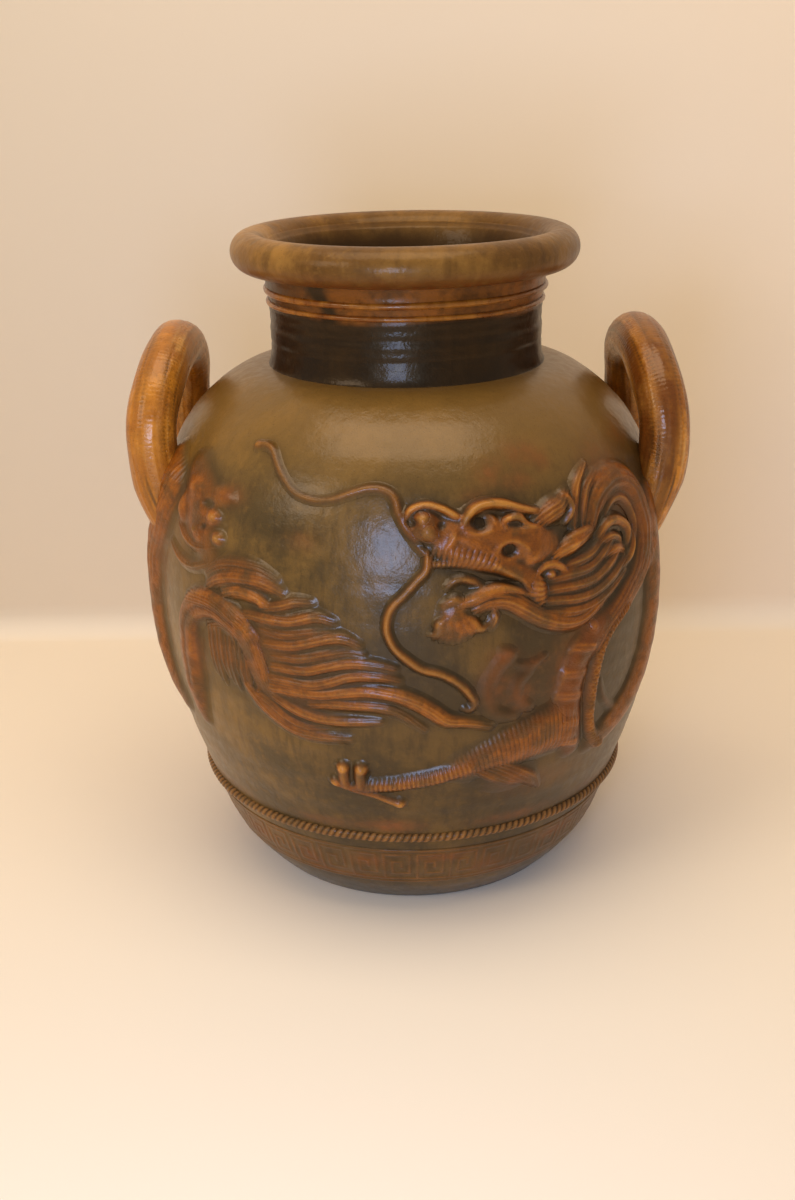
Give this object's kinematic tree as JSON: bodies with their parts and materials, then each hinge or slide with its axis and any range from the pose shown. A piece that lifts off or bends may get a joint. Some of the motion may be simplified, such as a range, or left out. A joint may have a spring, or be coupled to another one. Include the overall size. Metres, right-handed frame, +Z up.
{
  "type": "martaban storage jar",
  "caption": "Broad-shouldered glazed stoneware storage jar with a rolled rim, loop handles, a rope band and dragons in relief, for keeping water, oil or dry goods.",
  "frame": {"origin": "centre of the base, on the surface that the jar stands on", "axes": "+Z up along the jar's axis, -Y towards the front with the first dragon's head, +X towards the handle at the right"},
  "size_m": [0.3748, 0.3612, 0.4447],
  "materials": {
    "olive_glaze": "glossy olive-brown iron glaze over stoneware",
    "foot_glaze": "thin satin brown glaze over stoneware",
    "inside_glaze": "glossy dark brown glaze",
    "dark_glaze": "glossy near-black brown glaze",
    "rim_glaze": "glossy brown glaze, worn on the roll",
    "amber_glaze": "glossy orange-brown glaze",
    "relief_glaze": "glossy orange-brown glaze pooling dark in the hollows"
  },
  "bodies": {
    "root": {"belly_wall": "olive_glaze", "first_dragon_back_ridge": "relief_glaze", "first_dragon_beard": "relief_glaze", "first_dragon_body": "relief_glaze", "first_dragon_brows": "relief_glaze", "first_dragon_claws": "relief_glaze", "first_dragon_ears": "relief_glaze", "first_dragon_elbow_tuft": "relief_glaze", "first_dragon_eyes": "dark_glaze", "first_dragon_flames": "relief_glaze", "first_dragon_foreleg": "relief_glaze", "first_dragon_haunch": "relief_glaze", "first_dragon_head": "relief_glaze", "first_dragon_hind_leg": "relief_glaze", "first_dragon_leg_hair": "relief_glaze", "first_dragon_lower_jaw": "relief_glaze", "first_dragon_lower_whisker": "relief_glaze", "first_dragon_mane_crest": "relief_glaze", "first_dragon_mane_curls": "relief_glaze", "first_dragon_mane_locks": "relief_glaze", "first_dragon_neck": "relief_glaze", "first_dragon_nostrils": "dark_glaze", "first_dragon_tail_plume": "relief_glaze", "first_dragon_upper_whisker": "relief_glaze", "floor_disc": "inside_glaze", "foot_wall": "foot_glaze", "fret_band": "foot_glaze", "handle_left": "amber_glaze", "handle_right": "amber_glaze", "lower_neck_ring": "amber_glaze", "neck_collar": "dark_glaze", "rolled_rim": "rim_glaze", "rope_band": "foot_glaze", "second_dragon_back_ridge": "relief_glaze", "second_dragon_beard": "relief_glaze", "second_dragon_body": "relief_glaze", "second_dragon_brows": "relief_glaze", "second_dragon_claws": "relief_glaze", "second_dragon_ears": "relief_glaze", "second_dragon_elbow_tuft": "relief_glaze", "second_dragon_eyes": "dark_glaze", "second_dragon_flames": "relief_glaze", "second_dragon_foreleg": "relief_glaze", "second_dragon_haunch": "relief_glaze", "second_dragon_head": "relief_glaze", "second_dragon_hind_leg": "relief_glaze", "second_dragon_leg_hair": "relief_glaze", "second_dragon_lower_jaw": "relief_glaze", "second_dragon_lower_whisker": "relief_glaze", "second_dragon_mane_crest": "relief_glaze", "second_dragon_mane_curls": "relief_glaze", "second_dragon_mane_locks": "relief_glaze", "second_dragon_neck": "relief_glaze", "second_dragon_nostrils": "dark_glaze", "second_dragon_tail_plume": "relief_glaze", "second_dragon_upper_whisker": "relief_glaze", "shoulder_wall": "olive_glaze", "upper_neck_ring": "amber_glaze", "upper_shoulder": "olive_glaze"}
  },
  "joints": []
}
